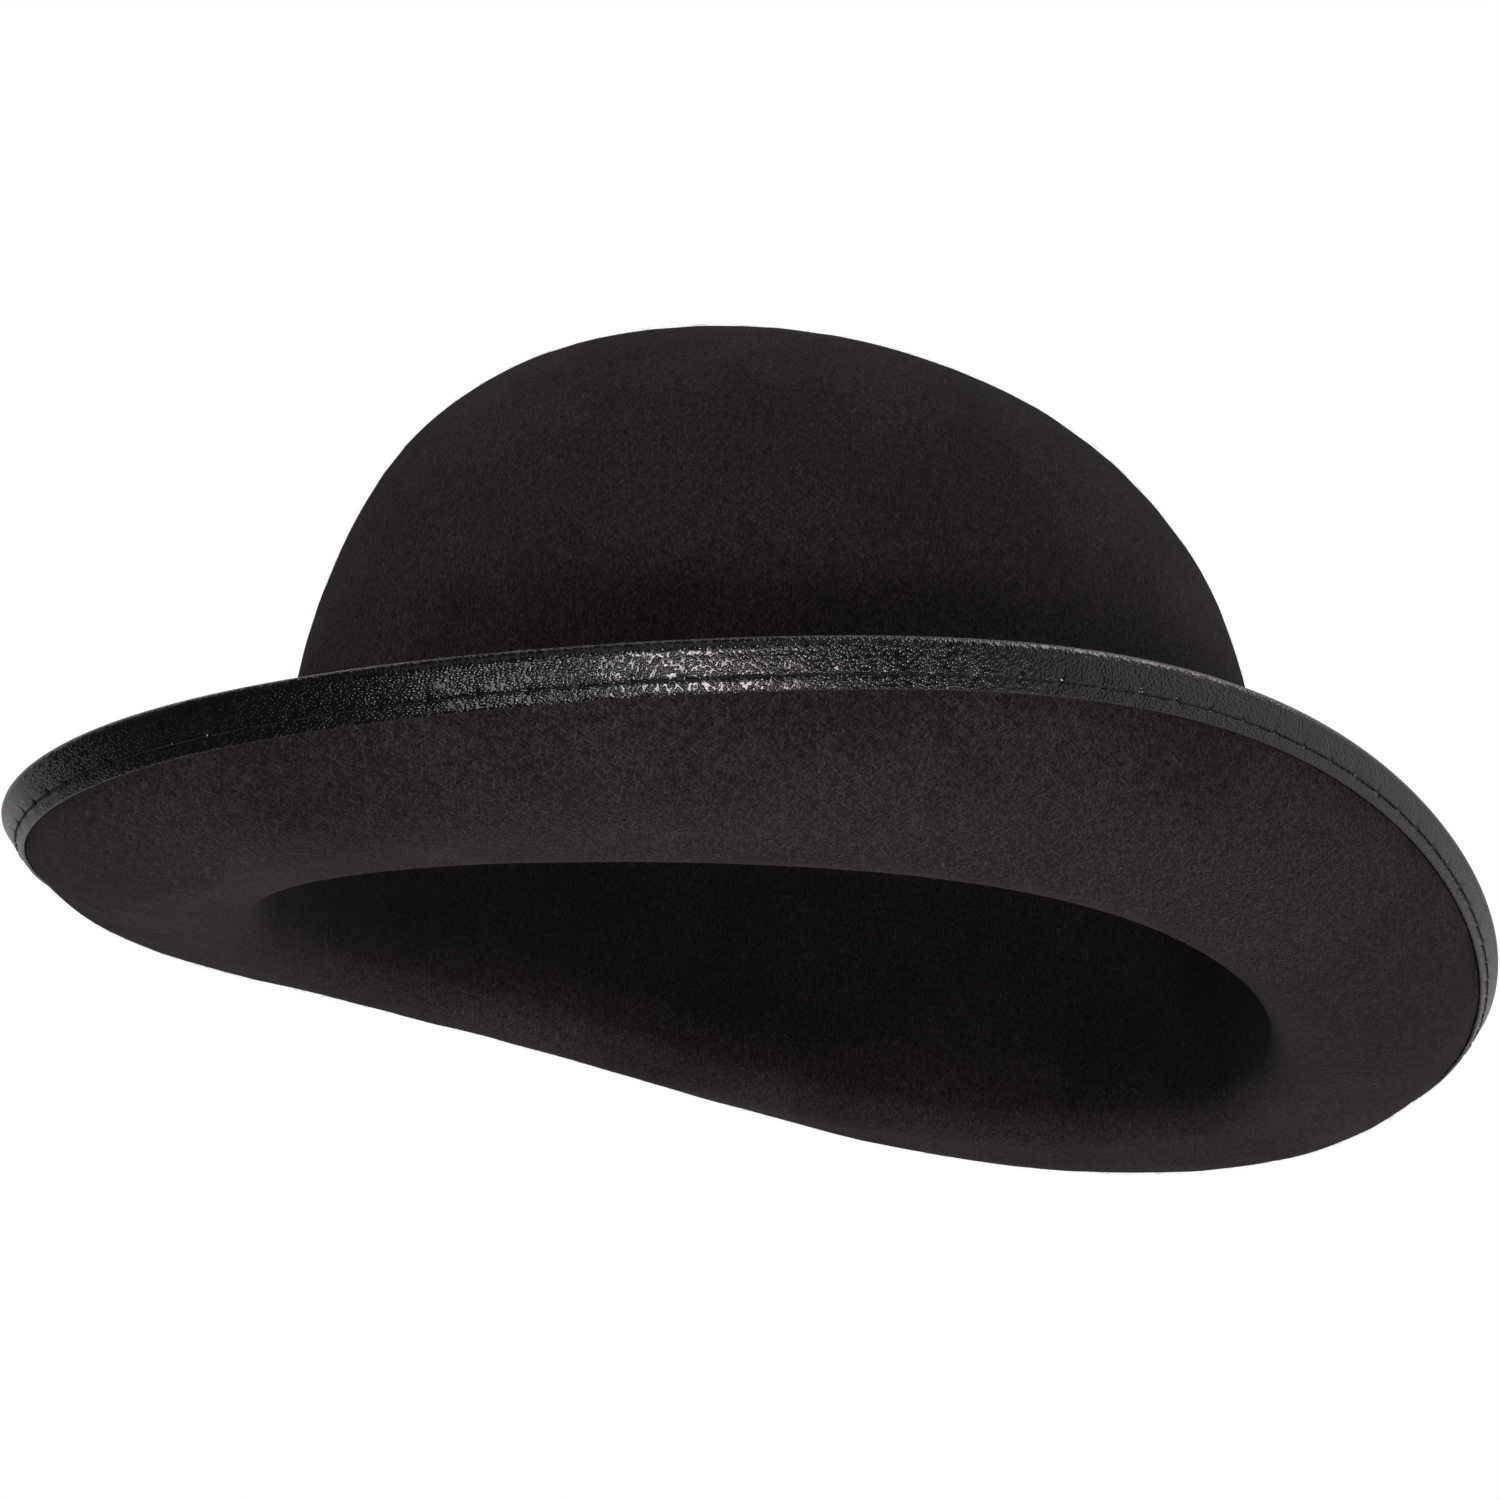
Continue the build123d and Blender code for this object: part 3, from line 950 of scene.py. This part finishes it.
camera_turn = radians(-51.34)
camera_lift = radians(19.09)
camera_roll = radians(6.16)
camera_distance = 483.5 * MM
camera_aim = np.array([0, 0, 29.0]) * MM
camera_offset = np.array([8.90, -15.62]) * MM
camera_focal = 59.18
floor_reach = 60.0
floor_below = 0.5 * MM
floor_glow = 0.42
floor_fade_start = 0.35
floor_fade_end = 2.2
light_distance = 0.95
light_spread = radians(100)
backdrop_turn = radians(102)
backdrop_light = 0.45
backdrop_edge = (-0.05, 0.2)
room_light = 0.05

# Soft boxes: name, azimuth and height in degrees, size in metres, radiance, colour.  Two of them
# light the felt and leave no highlight on the strip.
soft_boxes = (
    ("key", -25, -29, (0.37, 0.15), 3.5, (1.0, 0.93, 0.97)),
    ("low", -57, -37, (0.28, 0.16), 0.75, (1.0, 0.95, 0.97)),
    ("left", -115, 30, (0.8, 0.6), 1.15, (1.0, 0.93, 0.90)),
    ("right", 40, 55, (0.5, 0.5), 0.7, (1.0, 0.95, 1.0)),
    ("front", -45, 28, (1.2, 0.8), 0.10, (1.0, 0.97, 0.95)),
    ("bounce", -10, -78, (0.9, 0.9), 0.64, (1.0, 0.96, 0.98)),
)
no_highlight = ("bounce", "left")


def make_camera():
    right = np.array([1.0, 0, 0])
    up = np.array([0, -sin(camera_lift), cos(camera_lift)])
    forward = np.array([0, cos(camera_lift), sin(camera_lift)])
    rolled_right = cos(camera_roll) * right + sin(camera_roll) * up
    rolled_up = -sin(camera_roll) * right + cos(camera_roll) * up
    place_at = camera_aim - camera_offset[0] * rolled_right - camera_offset[1] * rolled_up
    place_at = place_at - camera_distance * forward
    turn_back = np.eye(3)
    turn_back[0, :2] = cos(camera_turn), sin(camera_turn)
    turn_back[1, :2] = -sin(camera_turn), cos(camera_turn)
    axes = np.stack([turn_back @ rolled_right, turn_back @ rolled_up, -(turn_back @ forward)], axis=1)
    data = bpy.data.cameras.new("camera")
    data.sensor_width = 36
    data.lens = camera_focal
    data.clip_start = 0.01
    camera = bpy.data.objects.new("camera", data)
    matrix = Matrix(axes.tolist()).to_4x4()
    matrix.translation = Vector(turn_back @ place_at + origin_shift)
    camera.matrix_world = matrix
    bpy.context.scene.collection.objects.link(camera)
    bpy.context.scene.camera = camera


def make_stage():
    """White surroundings for the camera, dimmer ones for the light, and a pale floor."""
    world = bpy.data.worlds.new("studio")
    world.use_nodes = True
    tree = world.node_tree
    seen, lit = tree.nodes["Background"], tree.nodes.new("ShaderNodeBackground")
    seen.inputs["Color"].default_value = (1, 1, 1, 1)
    seen.inputs["Strength"].default_value = 1.0
    ray = tree.nodes.new("ShaderNodeTexCoord").outputs["Generated"]
    facing = tree.nodes.new("ShaderNodeVectorMath")
    facing.operation = "DOT_PRODUCT"
    facing.inputs[1].default_value = (cos(backdrop_turn), sin(backdrop_turn), 0.0)
    tree.links.new(ray, facing.inputs[0])
    edge = tree.nodes.new("ShaderNodeMapRange")
    edge.interpolation_type = "SMOOTHSTEP"
    for index, value in enumerate((*backdrop_edge, room_light, backdrop_light), start=1):
        edge.inputs[index].default_value = value
    tree.links.new(facing.outputs["Value"], edge.inputs[0])
    tree.links.new(edge.outputs[0], lit.inputs["Strength"])
    lit.inputs["Color"].default_value = (1.0, 0.945, 0.965, 1)
    mix = tree.nodes.new("ShaderNodeMixShader")
    path = tree.nodes.new("ShaderNodeLightPath")
    tree.links.new(path.outputs["Is Camera Ray"], mix.inputs[0])
    tree.links.new(lit.outputs[0], mix.inputs[1])
    tree.links.new(seen.outputs[0], mix.inputs[2])
    tree.links.new(mix.outputs[0], tree.nodes["World Output"].inputs["Surface"])
    bpy.context.scene.world = world
    bpy.context.scene.view_settings.view_transform = "Standard"
    make_floor()


def make_floor():
    """Pale floor that fades to white far off; from below the hat shows through it."""
    data = bpy.data.meshes.new("floor")
    corners = [(-1, -1), (1, -1), (1, 1), (-1, 1)]
    corners = [(floor_reach * x, floor_reach * y, -floor_below) for x, y in corners]
    data.from_pydata(corners, [], [(0, 1, 2, 3)])
    n = Nodes("floor")
    grain = n.noise(n.position, 3.0, 2.0)
    away = n.add("ShaderNodeVectorMath", operation="LENGTH")
    n.put(away.inputs[0], n.position)
    n.finish(
        Base_Color=n.blend(grain, (0.80, 0.80, 0.80, 1), (0.84, 0.84, 0.84, 1)),
        Roughness=0.8,
        Emission_Color=(1, 1, 1, 1),
        Emission_Strength=n.remap(
            away.outputs["Value"], floor_fade_start, floor_fade_end, floor_glow, 1.0
        ),
    )
    from_below = n.add("ShaderNodeNewGeometry").outputs["Backfacing"]
    clear = n.add("ShaderNodeBsdfTransparent").outputs[0]
    either = n.add("ShaderNodeMixShader")
    for socket, value in zip(either.inputs, (from_below, n.shader.outputs[0], clear)):
        n.put(socket, value)
    n.put(n.tree.nodes["Material Output"].inputs["Surface"], either.outputs[0])
    data.materials.append(n.material)
    floor = bpy.data.objects.new("floor", data)
    bpy.context.scene.collection.objects.link(floor)
    floor.visible_diffuse = False
    floor.visible_glossy = False
    floor.visible_shadow = False


def make_lights():
    """Soft boxes round the hat, all turned to its middle."""
    middle = Vector((0, 0, 0.05))
    for name, azimuth, height, size, radiance, colour in soft_boxes:
        a, h = radians(azimuth), radians(height)
        way = Vector((cos(h) * cos(a), cos(h) * sin(a), sin(h)))
        data = bpy.data.lights.new(name, "AREA")
        data.shape = "RECTANGLE"
        data.size, data.size_y = size
        data.energy = size[0] * size[1] * pi * radiance
        data.color = colour
        data.spread = light_spread
        light = bpy.data.objects.new(name, data)
        light.location = middle + light_distance * way
        light.rotation_euler = (-way).to_track_quat("-Z", "Y").to_euler()
        light.visible_glossy = name not in no_highlight
        bpy.context.scene.collection.objects.link(light)


make_camera()
make_stage()
make_lights()
make_felt()
make_binding()
make_threads()
make_hatband()
make_tacks()
make_bow()
make_knot()
scatter_fuzz()
